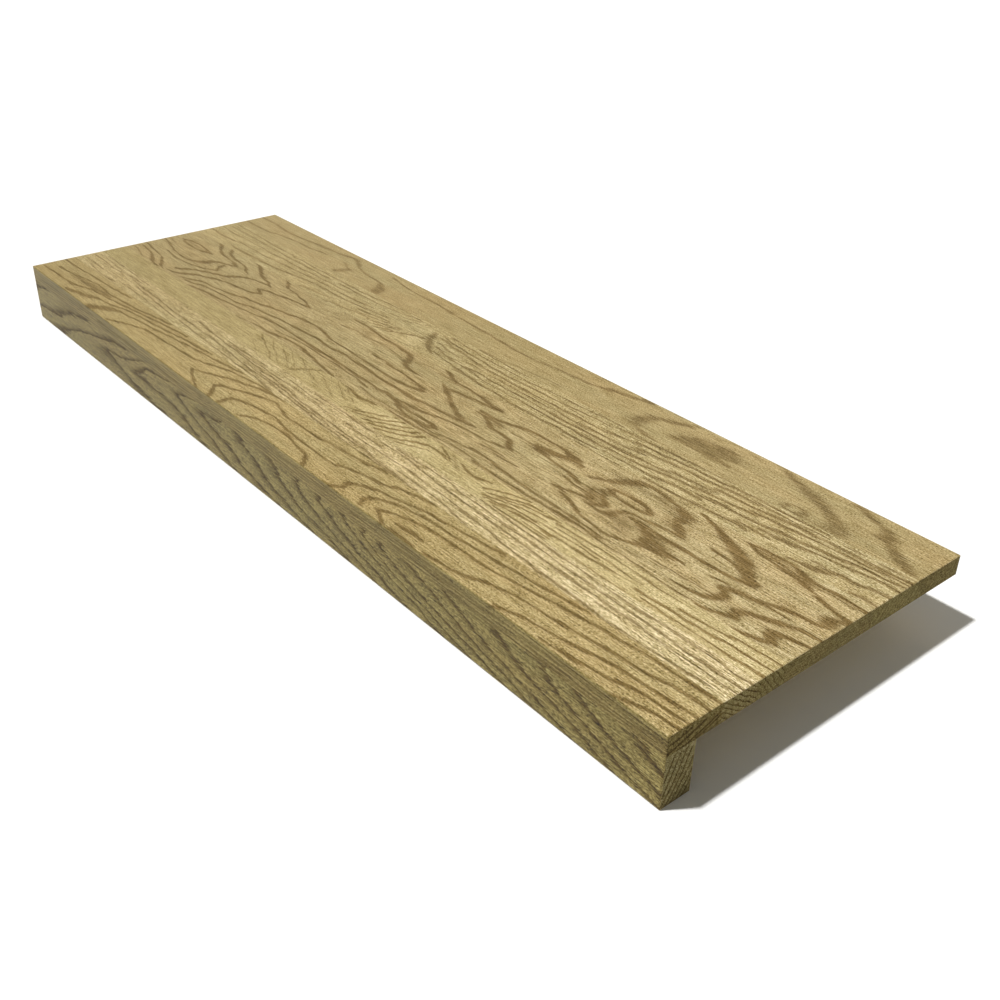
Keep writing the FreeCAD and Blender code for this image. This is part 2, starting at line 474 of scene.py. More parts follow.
# one board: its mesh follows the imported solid, with the open grain sunk a few hundredths of a mm
def makeBoard(board):
    low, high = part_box(board["node"])
    rounds = {corner: radius * mm for corner, radius in board["rounds"].items()}
    points, normals, quads, ends = boardLattice(
        low, high, rounds, board["shown"], board["steps"], cut["arris"] * mm)
    along, across, deep = woodPlace(points, board["face"])
    ringAlong, ringAcross = along + board["taper"] * deep, across + board["slant"] * deep
    ring = ringSheet(board["rings"])(ringAlong, ringAcross) + board["deep"] * deep - board["lead"]
    # patches of local tone, and painted sheen towards the right end, stored as the tone of each point
    tone = np.zeros(len(points))
    for *place, amount in board["toneAndSheen"]:
        tone += amount * patch(along, across, *place)

    veins = board["veins"]
    if board["ringVeins"]:
        veins = veins + [(*board["ringVeins"], line) for _, line in board["rings"]]
    wobble = cut["wobble"] * (planeNoise(along, across, *uneven["wobble"]) - 0.5)
    fringe = board["fringe"] * (planeNoise(along, across, *uneven["fringe"]) - 0.5)     # rows end unevenly
    near = np.exp(-(deep / cut["figureDepth"]) ** 2)
    left = near * (1 - (1 - cut["endFigure"]) * ends)
    vein = veinField(ringAlong + fringe, ringAcross + wobble, veins) * left
    vein += veinField(across, deep, board["endVeins"], 1.0, (1.0, 1.0)) * ends
    facesFront = normals[:, 1] < -0.5
    vein = np.maximum(vein, veinField(along, deep, board["frontVeins"], spread=(1.0, 1.0)) * facesFront)
    plain = board["plainTop"] * near * (1 - ends) + board["plainEnd"] * ends

    ragged = cut["ragged"] * (planeNoise(along, across + deep, *uneven["ragged"]) - 0.5)
    sunk = np.maximum(earlywood(ring + ragged) * (1 - plain), vein)
    sunk *= cut["shallow"] + (1 - cut["shallow"]) * planeNoise(along, across - deep, *uneven["depth"])
    sunk *= np.clip((tread["length"] / 2 - np.abs(points[:, 0] / mm) - cut["arris"]) / cut["fade"], 0, 1)
    sunk[ends > 0] = 0
    # painted shade on the faces towards the front and back, and on points right next to them
    toSide = np.minimum(np.abs(points[:, 1] - low[1]), np.abs(points[:, 1] - high[1]))
    edge = board["edge"] * np.maximum(np.abs(normals[:, 1]), toSide < cut["side"] * mm) * (1 - ends)
    mesh = fillMesh(board["node"], points - normals * (sunk * cut["relief"] * mm)[:, None], quads, {
        "ring": ring, "plain": plain, "vein": vein, "tone": tone, "endGrain": ends, "edge": edge})
    piece = bpy.data.objects.new(board["node"] + "_oak", mesh)
    bpy.context.scene.collection.objects.link(piece)
    mesh.materials.append(oiledOak(board["finish"], board["look"]))
    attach(piece, "root")
    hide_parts(board["node"])
    print("board", board["node"], len(points), "points", len(quads) * 2, "triangles")


# ring lines and veins of the panel: mm from the left end, mm from the back edge
frontStave = {
    **anyBoard, "node": "front_stave", "slot": "flat_sawn_oak", "finish": "oiled flat sawn oak, front",
    "rounds": {"topFront": cut["arris"]}, "shown": ("top", "front"), "steps": (64, 20, 300),
    # its front face takes the whole painted shade
    "taper": 1.2, "deep": 0.36, "lead": 0.18, "edge": 1.0, "plainEnd": 0.8, "ringVeins": (0.85, 1.0),
    "look": {
        **oak, "seed": 1.7, "late": "#b09660", "lateGreen": "#a59564", "bands": 0.72, "fibre": 0.45,
        "paintedSideShade": "#c4c3a3"},
    # darker at the left end, and a painted highlight along the front edge at the right end
    "toneAndSheen": [(110, 270, 200, 60, -0.11), (800, 294, 250, 2.5, 0.14)],
    "veins": [
        (0.5, 5, [(50, 267, 4), (80, 267), (110, 265.5), (130, 264, 3)]),
        (1, 1.2, [(28, 280.6), (72, 280), (86, 275.4)]),
        (0.9, 2.5, [(140, 290), (156, 279, 3), (162, 275), (170, 272.4, 1.5)]),
        (0.75, 2.4, [(85, 289, 2), (96, 285), (106, 283, 3), (115, 280, 3), (124, 275.5)]),
        (0.8, 1.2, [(646, 282.4), (655, 282.6, 1.8), (664, 282, 1)]),
        (0.7, 1.5, [(648, 291), (660, 290.5), (672, 291)]),
    ],
    # fine lines of the front edge: (mm from the left end, mm below the top)
    "frontVeins": [
        (0.5, 0.6, [(20, 9), (60, 8), (100, 7.5)]), (0.6, 0.6, [(102, 4), (125, 5), (150, 6)]),
        (0.75, 0.7, [(160, 7), (200, 8), (245, 8)]), (0.75, 0.7, [(283, 9), (305, 10), (325, 10.3)]),
        (0.5, 0.6, [(330, 5), (380, 5.5), (430, 7)]), (0.5, 0.6, [(455, 7), (520, 6), (580, 7.5)]),
        (0.55, 0.6, [(560, 3.5), (640, 4.5), (720, 4)]), (0.6, 0.6, [(600, 9), (680, 10), (760, 9)]),
        (0.6, 0.6, [(700, 7), (790, 6), (860, 7.5), (914, 7)]),
        (0.65, 0.6, [(797, 2.5), (850, 3.5), (914, 4)]),
        (0.65, 0.6, [(800, 10.5), (850, 11), (914, 9.5)]),
        (0.55, 0.6, [(700, 13), (800, 14), (914, 12.8)]),
    ],
    # lines of the end grain: (mm from the back edge, mm below the top)
    "endVeins": [
        (0.85, 0.75, [(290, 7.6), (284, 7.1), (280, 6.4), (276, 5.4), (272.5, 4.4)]),
        (0.9, 0.85, [(291, 14), (286, 12.8), (282, 11.4), (278, 10.4), (274, 9.1), (270, 7.6),
            (266, 6.4), (261, 4.8)]),
        (0.85, 0.75, [(283, 15.9), (278, 15), (274, 14.6), (270, 13.2), (266, 12.2), (262, 11),
            (258, 9.6), (254, 8.2), (248, 6)]),
        (0.75, 0.7, [(270, 15.6), (264, 14.2), (258, 12.3), (254, 11), (247, 8.2)]),
        (0.6, 0.7, [(258, 15.8), (252, 14.4), (247, 13)]),
    ],
    "rings": [
        (0, [(0, 257), (30, 256.5), (60, 254.5), (100, 252.5), (125, 251), (145, 248.5)]),
        (1, [(20, 270), (42, 268), (67, 263), (92, 260), (117, 261), (142, 260), (167, 257.5),
            (200, 252), (228, 248)]),
        (2, [(5, 282), (28, 281), (50, 280), (70, 279), (83, 276), (100, 270), (125, 268), (145, 265),
            (167, 262), (228, 253), (262, 249)]),
        (3, [(80, 289), (93, 285), (108, 282), (123, 275), (142, 273), (167, 267), (192, 263),
            (228, 259), (270, 254), (310, 249)]),
        (4, [(138, 290), (150, 280), (165, 273), (183, 271), (228, 265), (262, 260), (295, 256),
            (328, 252), (362, 248)]),
        (5, [(180, 290), (205, 279), (228, 272), (262, 270), (292, 268), (312, 267), (328, 262),
            (337, 258), (357, 253), (378, 250), (412, 246)]),
        (6, [(362, 291), (349, 287), (337, 283), (328, 277), (342, 273), (352, 267), (370, 260),
            (387, 255), (403, 250), (428, 247)]),
        (7, [(385, 291), (372, 281), (369, 277), (374, 274), (390, 267), (403, 261), (418, 256),
            (430, 254), (440, 255), (450, 258), (460, 259.5), (497, 259), (525, 255.5), (560, 252),
            (580, 247.5)]),
        (8, [(400, 291), (398, 284), (401, 278), (407, 275.5), (427, 271), (452, 267.5), (478, 271.5),
            (535, 272.5), (548, 271.5), (553, 268), (572, 264), (593, 260), (606, 254), (615, 251),
            (640, 247.5)]),
        (9, [(430, 290), (437, 285), (445, 281), (455, 278.5), (470, 276), (485, 275.5), (507, 279.5),
            (518, 280), (524, 283), (533, 291)]),
        (9, [(572, 291), (580, 285), (577, 280), (581, 275), (599, 268), (615, 265), (632, 260),
            (649, 257), (686, 253), (720, 248)]),
        (10, [(607, 290), (602, 282), (607, 275), (624, 268), (649, 263), (686, 261), (728, 257),
            (769, 252), (803, 248)]),
        (11, [(637, 291), (629, 287), (621, 282.5), (632, 277), (649, 272), (665, 269.5), (686, 268.5),
            (720, 267.5), (753, 263), (786, 258), (828, 253), (853, 250), (914, 248)]),
        (12, [(645, 283), (665, 281.5), (672, 283)]),
        (12, [(686, 290), (711, 288), (728, 283), (744, 277), (761, 273), (794, 270), (836, 265),
            (870, 262), (886, 258), (914, 257)]),
        (13, [(761, 291), (778, 285), (794, 282), (828, 277.5), (844, 273), (870, 271), (914, 268)]),
        (14, [(803, 290), (836, 287), (861, 282), (878, 277.5), (914, 275)]),
        (15, [(870, 291), (895, 285), (914, 282)]),
    ],
}

stave2 = {
    **anyBoard, "node": "stave_2", "slot": "rift_sawn_oak", "finish": "oiled rift sawn oak, second",
    "steps": (44, 8, 300), "slant": 1.5, "plainEnd": 0.0,
    "look": {
        **oak, "seed": 5.1, "late": "#baa270", "lateGreen": "#b2a272", "wave": 0.9, "bands": 0.64,
        "fibre": 0.55, "endBands": 0.6, "endTint": "#adad95"},
    # painted sheen at the right end, darker at the left end
    "toneAndSheen": [(850, 222, 240, 40, 0.3), (110, 230, 200, 60, -0.1)],
    "veins": [
        (0.6, 0.8, [(20, 216.3), (60, 217), (122, 219.5)]),
        (0.65, 0.8, [(10, 219.8), (65, 223.5), (112, 222.5)]),
        (0.65, 0.8, [(6, 225), (30, 225.5), (82, 228)]),
        (0.8, 0.9, [(98, 226), (130, 228), (215, 231.3), (240, 231), (255, 232), (280, 232.5),
            (360, 238), (390, 237.5), (405, 239), (490, 244.2), (540, 245.4), (585, 245.6)]),
        (0.8, 0.9, [(122, 232), (165, 233.5), (200, 237), (225, 236.8), (300, 240.5), (385, 243.5),
            (395, 244, 1.4), (406, 244.5)]),
        (0.8, 0.9, [(238, 223.5), (300, 228.5), (320, 228.3), (355, 231), (395, 231.5), (450, 236),
            (510, 238), (545, 240.5), (560, 242.5), (600, 244.8)]),
        (0.6, 0.9, [(300, 225.8), (340, 227), (388, 227)]),
        (0.6, 0.9, [(345, 235.2), (380, 234.8), (410, 236), (458, 239.4), (530, 241.8)]),
        (0.55, 0.8, [(118, 238.5), (185, 241)]),
        (0.65, 0.9, [(28, 241.5), (50, 243.5), (70, 244.5), (92, 243)]),
        (0.55, 0.8, [(12, 235.5), (50, 237), (82, 236)]),
        (0.6, 0.9, [(300, 223.5), (330, 224.5), (362, 223)]),
        (0.6, 0.9, [(405, 222.3), (430, 223.5), (457, 224)]),
        (0.6, 0.9, [(388, 227), (430, 227.5), (472, 229)]),
        (0.6, 0.9, [(496, 227.3), (547, 228.5)]),
        (0.6, 0.9, [(518, 233), (545, 233.5), (585, 232)]),
        (0.6, 0.9, [(436, 218.5), (480, 218.5), (510, 219.5), (532, 217.5)]),
        (0.6, 0.9, [(556, 219), (580, 219.5), (596, 218.6)]),
        (0.6, 0.9, [(538, 223), (570, 222.5), (600, 224.4)]),
        (0.65, 0.8, [(594, 218.5), (630, 219.6)]),
        (0.75, 0.88, [(628, 220.7, 0.62), (650, 221.2), (705, 224.2), (725, 224.5), (760, 226.3),
            (835, 226.7), (868, 228.2), (914, 228.6)]),
        (0.75, 0.88, [(655, 215.8), (700, 217.8), (760, 219.5), (780, 220.8), (820, 221), (880, 219.6),
            (900, 221.2), (914, 220.6)]),
        (0.7, 0.88, [(598, 224.4, 0.62), (615, 226), (760, 232, 1.14), (825, 232.2), (860, 234),
            (914, 234.4)]),
        (0.65, 0.9, [(585, 232), (605, 232.3), (615, 234), (640, 234.3), (670, 237), (690, 238),
            (708, 241, 1.2), (720, 241.5), (735, 241.2), (750, 243)]),
        (0.7, 0.9, [(585, 238.8), (630, 240.2), (673, 244.6)]),
        (0.7, 0.9, [(585, 244.8), (600, 245.2), (616, 244.8)]),
        (0.7, 0.8, [(745, 242.6), (795, 244.2, 1.2), (815, 245), (850, 245), (900, 241.5)]),
        (0.55, 0.8, [(798, 236.6), (820, 235.8)]),
    ],
    "rings": [
        (0, [(0, 217), (457, 222), (914, 223)]), (1, [(0, 223), (457, 229), (914, 228)]),
        (2, [(0, 229.5), (457, 235.5), (914, 235)]), (3, [(0, 235), (457, 241), (914, 241.5)]),
        (4, [(0, 240.5), (457, 246.5), (914, 247)]),
    ],
}

stave3 = {
    **anyBoard, "node": "stave_3", "slot": "quarter_sawn_oak", "finish": "oiled quarter sawn oak, third",
    "steps": (38, 8, 800), "slant": 0.8, "plainEnd": 0.0, "fringe": 1.5,
    "look": {
        **oak, "seed": 9.4, "late": "#ab9661", "lateGreen": "#a79664", "pores": 0.4, "wave": 0.9,
        "fibre": 0.5, "endBands": 0.1, "endTint": "#a3a38c"},
    # painted sheen at the right end, darker at the left end, and small lighter patches of local tone
    "toneAndSheen": [
        (850, 205, 240, 40, 0.38), (110, 200, 200, 60, -0.07), (508, 197, 28, 7, 0.42),
        (552, 206, 26, 7, 0.4), (690, 200, 40, 12, 0.2)],
    "veins": [
        (0.39, 0.55, [(296, 189.5), (303, 194), (312, 198)]),
        (0.49, 0.6, [(300, 191), (310, 196), (338, 206), (351, 212.5)]),
        (0.45, 0.5, [(318, 190), (330, 197), (345, 203), (366, 213)]),
        (0.42, 0.5, [(335, 190), (376, 208.5)]),
        (0.42, 0.5, [(350, 190), (386, 207.5)]),
        (0.39, 0.5, [(305, 204), (327, 214)]),
        (0.39, 0.5, [(368, 189.5), (391, 199.5)]),
        (0.45, 1.1, [(398, 190), (385, 203), (381, 210)]),
        (0.42, 0.5, [(394, 200), (429, 208.4)]),
        (0.39, 0.5, [(405, 192), (420, 199), (449, 210.5)]),
        (0.39, 0.5, [(428, 190.6), (456, 203.4)]),
        (0.45, 0.5, [(438, 189), (469, 202.4)]),
        (1, 1.2, [(446, 190), (464, 192.4, 1.5), (483, 189.2, 0.8)]),
        (0.7, 0.6, [(470, 211.5), (486, 206.5), (515, 189.5)]),
        (0.85, 0.6, [(482, 211.5), (496, 207), (508, 202), (525, 189)]),
        (0.9, 0.6, [(498, 212), (510, 206.4), (537, 189.4)]),
        (0.95, 0.66, [(506, 213.6), (520, 207.4), (530, 201.6), (540, 195.4), (546, 190)]),
        (0.95, 0.66, [(517, 214), (530, 208.6), (540, 203.2), (548, 197.4), (554, 191)]),
        (0.9, 0.96, [(534, 214, 0.5), (545, 209.4, 0.55), (558, 200.4), (566, 197), (576, 196.4),
            (586, 197.4), (593, 199.6, 0.6)]),
        (0.75, 0.6, [(545, 214), (573, 202.2)]),
        (0.55, 0.72, [(574, 190), (585, 193.2), (597, 199)]),
        (0.35, 1.2, [(590, 190), (600, 197), (611, 203)]),
        (0.85, 1.32, [(606, 195, 0.8), (622, 198.5), (628, 199), (642, 195.3, 0.7)]),
        (0.9, 0.6, [(644, 203.5), (655, 197.5), (668, 192), (680, 189)]),
        (0.9, 0.6, [(650, 206), (672, 196), (682, 192.7), (694, 190.6)]),
        (0.9, 0.6, [(660, 203.5), (680, 196.5), (714, 191)]),
        (0.9, 0.66, [(651, 209.5), (676, 201.3), (690, 198.8), (706, 197)]),
        (0.9, 0.72, [(655, 211.5), (680, 205.2), (702, 204.3)]),
        (0.85, 0.72, [(662, 212.5), (675, 209.5), (690, 207.5), (705, 207), (722, 207.5)]),
        (0.6, 0.84, [(668, 213.6), (722, 214)]),
        (0.55, 0.84, [(698, 211.5), (724, 211.3)]),
        (0.6, 0.84, [(700, 202.3), (762, 201)]),
        (0.65, 0.96, [(724, 206.6), (750, 206), (765, 204.6), (783, 204.5)]),
        (0.55, 0.84, [(718, 197.4), (802, 199)]),
        (0.55, 0.96, [(714, 193.6), (752, 192.4)]),
        (0.75, 1.08, [(805, 206.6), (868, 204), (880, 202.3), (895, 201.5), (914, 202)]),
        (0.65, 0.96, [(815, 211.4), (880, 211), (914, 210)]),
        (0.65, 1.08, [(838, 200.2), (855, 199.5), (885, 194.6), (914, 193)]),
        (0.5, 0.96, [(752, 213.4), (775, 214), (800, 213.6)]),
        (0.5, 0.96, [(755, 192), (830, 194)]),
    ],
    "rings": [
        (0, [(0, 190), (457, 190), (914, 190)]), (1, [(0, 195), (457, 196), (914, 195)]),
        (2, [(0, 200.5), (457, 201), (914, 200)]), (3, [(0, 206), (457, 207), (914, 206)]),
        (4, [(0, 211), (457, 212), (914, 211)]),
    ],
}

stave4 = {
    **anyBoard, "node": "stave_4", "slot": "flat_sawn_oak", "finish": "oiled flat sawn oak, widest",
    # painted sheen at the right end, a little darker at the left end
    "steps": (122, 8, 300), "taper": 1.5, "deep": 0.38, "look": {**oak, "seed": 13.2},
    "toneAndSheen": [(914, 145, 280, 300, 0.18), (110, 145, 200, 100, -0.03)],
    "rings": [
        (1, [(0, 142), (55, 152), (92, 140), (126, 121), (80, 114), (52, 98)]),
        (3, [(0, 165), (63, 177), (108, 162), (152, 137), (197, 122.5), (155, 109), (131, 99.5)]),
        (5, [(123, 182), (228, 155.5), (302, 138), (395, 147), (487, 142), (427, 130), (417, 107),
            (323, 101)]),
        (6, [(138, 185), (254, 163), (354, 155), (490, 157), (560, 147.5), (494, 123), (552, 112),
            (465, 103)]),
        (7, [(160, 187), (295, 167), (457, 169), (565, 156), (615, 147.5), (545, 129), (640, 116.5)]),
        (7.5, [(660, 130), (700, 145), (760, 120), (800, 150), (860, 130), (914, 140), (914, 110),
            (860, 170)]),
        (8, [(228, 185), (303, 172.5), (430, 173.5), (515, 185), (590, 172), (730, 180)]),
    ],
    "veins": [
        (0.7, 1.5, [(17, 127), (22, 124), (30, 121.5), (45, 121), (60, 122), (70, 124.5, 2),
            (77, 125.5)]),
        (0.7, 1.5, [(17, 127), (25, 129.5), (35, 130.5), (55, 130.5), (63, 129.5), (71, 127)]),
        (0.3, 3, [(30, 126), (62, 126)]),
        (0.75, 1.4, [(57, 100.5, 2), (70, 109.5), (78, 113.5), (88, 115.5), (113, 118.5),
            (120, 120, 1.8), (126, 122.5, 1.8), (130, 123.5, 1)]),
        (0.75, 1.4, [(126, 123), (120, 126), (107, 129.5), (103, 131.5), (99, 135, 2), (97, 142, 2.6),
            (95, 145, 2.2), (84, 151, 1.8), (76, 153), (66, 153.5), (55, 153), (45, 151.5, 1),
            (35, 149.5), (20, 145.5), (3, 142, 1)]),
        (0.75, 1.2, [(80, 100), (83, 104, 1.6), (93, 110), (103, 112), (128, 114.5), (138, 117),
            (151, 123, 0.9)]),
        (0.65, 1.2, [(118, 131), (118, 136), (125, 143.5), (120, 148), (110, 152.5), (95, 157),
            (80, 160), (60, 160.5), (40, 157)]),
        (0.8, 1.5, [(135, 100.5), (143, 102.5), (163, 112.5), (170, 115), (188, 119), (199, 124, 1)]),
        (0.75, 1.4, [(193, 123.5, 1), (175, 126.5), (165, 129.5), (158, 133), (153, 138, 1.8),
            (146, 146.5), (130, 152.5), (114, 160), (106, 165), (94, 175)]),
        (0.7, 1.5, [(195, 100.5, 1.1), (202, 104), (209, 108.5), (215, 112, 1.1)]),
        (0.7, 1.2, [(220, 112.5), (235, 113), (248, 115), (258, 117), (265, 119.5, 1.6), (270, 120.5),
            (245, 124.5), (210, 131.5), (197, 136, 1.6)]),
        (0.75, 1.2, [(197, 136), (203, 139), (210, 141), (200, 147), (160, 153.5), (150, 156),
            (130, 164.5, 1.6), (122, 169.5, 1.6), (110, 179, 1.5), (103, 182.5), (92, 185, 0.9)]),
        (0.8, 1.2, [(300, 141.5), (282, 143.5), (270, 147), (245, 152), (232, 155.5), (210, 158.5),
            (205, 161.5), (195, 164.5), (185, 166.5), (172, 169), (150, 170.5), (142, 173), (130, 180),
            (122, 182.5)]),
        (0.8, 1.1, [(300, 158), (280, 159), (255, 163.5), (240, 165), (215, 171.5), (195, 172.5),
            (152, 177), (145, 180), (132, 184)]),
        (0.75, 1.1, [(300, 167.5), (280, 168.5), (265, 170), (250, 173.5), (220, 177.5),
            (175, 182.5, 1.4), (145, 187)]),
        (0.65, 1.2, [(5, 164), (55, 172), (78, 184, 1.6), (85, 187)]),
        (0.7, 1.2, [(8, 171), (25, 173), (38, 176), (66, 187, 2), (75, 188, 1.5)]),
        (0.5, 1, [(4, 180), (15, 181), (40, 187)]),
        (0.4, 1, [(5, 135), (15, 138), (30, 140.5)]),
        (0.75, 1.2, [(322, 101.5), (340, 102), (370, 105), (412, 107, 1.5), (420, 108.5, 1.6),
            (425, 112, 1.8), (432, 122, 2), (440, 125.5, 1.8), (462, 127, 0.8)]),
        (0.5, 1.1, [(325, 119.5), (345, 116.5), (372, 116.5, 1.4), (380, 114.5), (395, 115), (421, 118)]),
        (0.75, 1.2, [(300, 141.5), (315, 140.5), (328, 142), (350, 146.5), (365, 146.5), (440, 149),
            (460, 148.5), (472, 147), (480, 145, 1.5), (487, 142, 1.6), (482, 140, 1.5), (472, 138.5),
            (445, 136), (430, 135.5), (415, 133.5), (400, 134.3)]),
        (0.8, 1.6, [(300, 158), (325, 156), (340, 155.5), (355, 157), (365, 157), (375, 154.5),
            (458, 157.5), (475, 157), (492, 157.5), (505, 155.5), (548, 151.5), (558, 150),
            (564, 148.5, 1)]),
        (0.75, 1.7, [(486, 120.5, 1), (495, 124.5), (522, 139.5), (538, 145.5), (545, 148, 2),
            (552, 149), (562, 148.5, 1)]),
        (0.75, 1.6, [(494, 124), (525, 118), (548, 116), (556, 113.5, 1.1)]),
        (0.75, 1.3, [(468, 101), (474, 103.5, 1.8), (480, 106.5, 1.6), (492, 110), (520, 109.5),
            (545, 113.5, 2), (556, 113)]),
        (0.5, 1, [(466, 109.5), (492, 110.3)]),
        (0.95, 1.4, [(546, 130, 1), (555, 130), (572, 138), (600, 141), (608, 148.5), (613, 150.8, 1.2)]),
        (0.75, 1, [(612, 151), (585, 155.5), (545, 158.8), (523, 163.5, 1.5), (515, 167, 1.7),
            (495, 169, 1.6), (487, 170.5, 1.6)]),
        (0.85, 1.4, [(547, 127), (558, 127), (568, 126), (576, 124), (590, 119), (607, 116.7)]),
        (0.5, 2.6, [(558, 129), (575, 131)]),
        (0.8, 1.5, [(300, 167.5), (360, 168.5), (380, 168), (415, 169), (430, 170), (445, 169.5),
            (460, 170.5), (470, 169), (490, 173, 2), (505, 178.5), (515, 180.5), (530, 180), (540, 178),
            (547, 175.5), (540, 173.5), (510, 174), (500, 172.5)]),
        (0.6, 0.9, [(300, 175.5), (312, 174), (345, 171.5), (432, 173.5), (440, 175.5, 1.6), (449, 176)]),
        (0.8, 1.4, [(296, 184), (322, 179), (335, 178), (350, 178), (366, 181), (413, 188)]),
        (0.6, 1, [(245, 188), (280, 184), (296, 184)]),
        (0.6, 1, [(448, 181), (480, 183), (540, 181), (550, 181.5), (560, 179), (595, 173.5)]),
        (0.6, 1, [(500, 187), (535, 186.5), (560, 183.5), (580, 182), (592, 182)]),
        (0.7, 1.2, [(605, 116.8), (634, 116.2), (642, 117, 1.6)]),
        (1, 1.6, [(642, 117), (650, 118.5, 2.4), (656, 121, 2.2), (664, 123.3, 1.2)]),
        (1, 1, [(617, 130.3), (628, 128.5, 2.2), (658, 122, 1.8)]),
        (0.55, 0.9, [(590, 131.5), (618, 130.7)]),
        (0.9, 1.5, [(620, 131), (635, 132.3, 1)]),
        (0.9, 1.4, [(622, 132.5), (645, 136), (665, 137.6), (680, 141.6)]),
        (0.9, 1, [(667, 144.3), (680, 146.5), (697, 146.6), (702, 148), (704, 149.4), (701, 151.5),
            (695, 153.7), (672, 160)]),
        (0.8, 1, [(677, 158.8), (683, 160.4)]),
        (0.32, 6, [(700, 113), (712, 109), (735, 110), (755, 115), (762, 124), (766, 132)]),
        (0.5, 4, [(696, 140), (706, 154)]),
        (0.35, 5, [(733, 150), (750, 165)]),
        (0.55, 4, [(752, 147), (772, 156), (786, 160)]),
        (0.45, 3, [(830, 106), (866, 110)]),
        (0.72, 2, [(696, 121), (706, 109.5, 2.4), (712, 105, 2.4), (722, 103.8), (735, 105),
            (748, 107.2), (758, 110, 3), (765, 115, 3), (764, 122), (768, 128), (774, 132, 2.4),
            (780, 136), (772, 137.6, 1.6), (738, 141.2, 1.2), (731, 144, 1.4), (727, 157),
            (718, 158.6, 1.5), (706, 157.6, 1.4)]),
        (0.55, 1.4, [(700, 119), (686, 126), (681, 130)]),
        (0.75, 1.6, [(703, 130.5), (707, 127.5), (716, 126), (730, 126), (740, 128.5), (746, 132.5)]),
        (0.75, 1.6, [(703, 130.5), (709, 134.3), (722, 135.6), (735, 135), (746, 133)]),
        (0.75, 1.4, [(701, 135.5), (710, 145), (716, 148), (717, 150.3), (708, 156.5)]),
        (0.75, 1.2, [(684, 163, 0.9), (692, 164), (700, 166.5), (707, 169), (712, 172), (738, 176),
            (746, 175.4), (760, 170.4), (778, 165.3)]),
        (0.75, 1.1, [(590, 173), (605, 173), (655, 178), (720, 179), (745, 181)]),
        (0.65, 1, [(590, 182), (606, 182.3)]),
        (0.7, 1.1, [(608, 184.6), (650, 185), (720, 183.5), (745, 184.6)]),
        (0.55, 1, [(606, 164.3), (633, 163.5)]),
        (0.55, 0.9, [(645, 166.2), (658, 166)]),
        (0.6, 1.1, [(590, 163), (613, 161)]),
        (0.75, 2, [(750, 146), (763, 153, 2.6), (768, 156.5)]),
        (0.95, 1, [(762, 159), (775, 159.6, 1.3), (790, 159, 1.3), (803, 160.2)]),
        (0.9, 1.2, [(766, 162.3), (780, 162.4), (795, 161.4)]),
        (0.7, 0.9, [(764, 165), (775, 165.2), (786, 164.6)]),
        (0.9, 0.9, [(770, 101.8), (790, 108, 1.6), (818, 121, 3.4), (826, 124.5, 3), (837, 135, 2.5),
            (843, 138.5, 2.2), (851, 139.3, 1.2)]),
        (0.7, 1, [(805, 130.8), (818, 131.5, 1.5), (828, 133.5, 1.8), (836, 136.5, 2)]),
        (0.9, 1.4, [(850, 139.5), (846, 142.5, 2.2), (838, 145.5, 1.8), (828, 147), (815, 147.8),
            (800, 147.3), (765, 147.5), (741, 146, 1)]),
        (0.75, 1.4, [(817, 104.8, 0.9), (838, 101.8, 1.8), (850, 102, 1.8), (865, 107.5, 2),
            (874, 107.5), (884, 106.5), (914, 107.8)]),
        (0.75, 1.5, [(818, 105.4, 1), (825, 108, 1.2), (835, 110), (847, 112), (866, 113.6, 2),
            (875, 116), (895, 122.4), (905, 124.5, 1.8), (914, 125.5)]),
        (0.6, 2.2, [(857, 109.5), (870, 111)]),
        (0.55, 1, [(874, 110.6), (890, 110), (906, 110.6)]),
        (0.5, 1, [(824, 105.6), (840, 106.6), (850, 108)]),
        (0.65, 2, [(914, 127.5, 1.5), (906, 130.5), (904, 135, 2.6), (906, 140)]),
        (0.8, 1.6, [(906, 142.2, 1), (882, 146.6), (873, 148.8), (862, 152.8), (850, 155),
            (843, 157.5, 1.9), (839, 160.4), (843, 163.5), (845, 167), (840, 175), (835, 178.5, 1.3),
            (825, 180, 1), (810, 180.6, 0.9)]),
        (0.7, 1.5, [(850, 155), (865, 153.5), (886, 152.6, 0.9)]),
        (0.8, 0.8, [(825, 155.6), (836, 155)]),
        (0.5, 1, [(780, 173), (828, 171.6), (838, 170)]),
        (0.8, 1.7, [(914, 154.6, 1.2), (903, 155.6, 1.4), (895, 158), (864, 170), (860, 172.5),
            (863, 176), (862, 179.5), (856, 183, 1.4), (840, 187.5, 1)]),
        (0.8, 1.4, [(914, 166), (905, 167.5), (896, 170, 1.7), (890, 172.5, 2), (895, 181, 2),
            (888, 184.6), (878, 187.5, 1.1), (868, 188.6, 1)]),
        (0.5, 0.9, [(750, 180), (780, 177.6)]),
        (0.5, 1, [(750, 185), (790, 185.6), (805, 187), (822, 187.5), (836, 186.5)]),
    ],
}

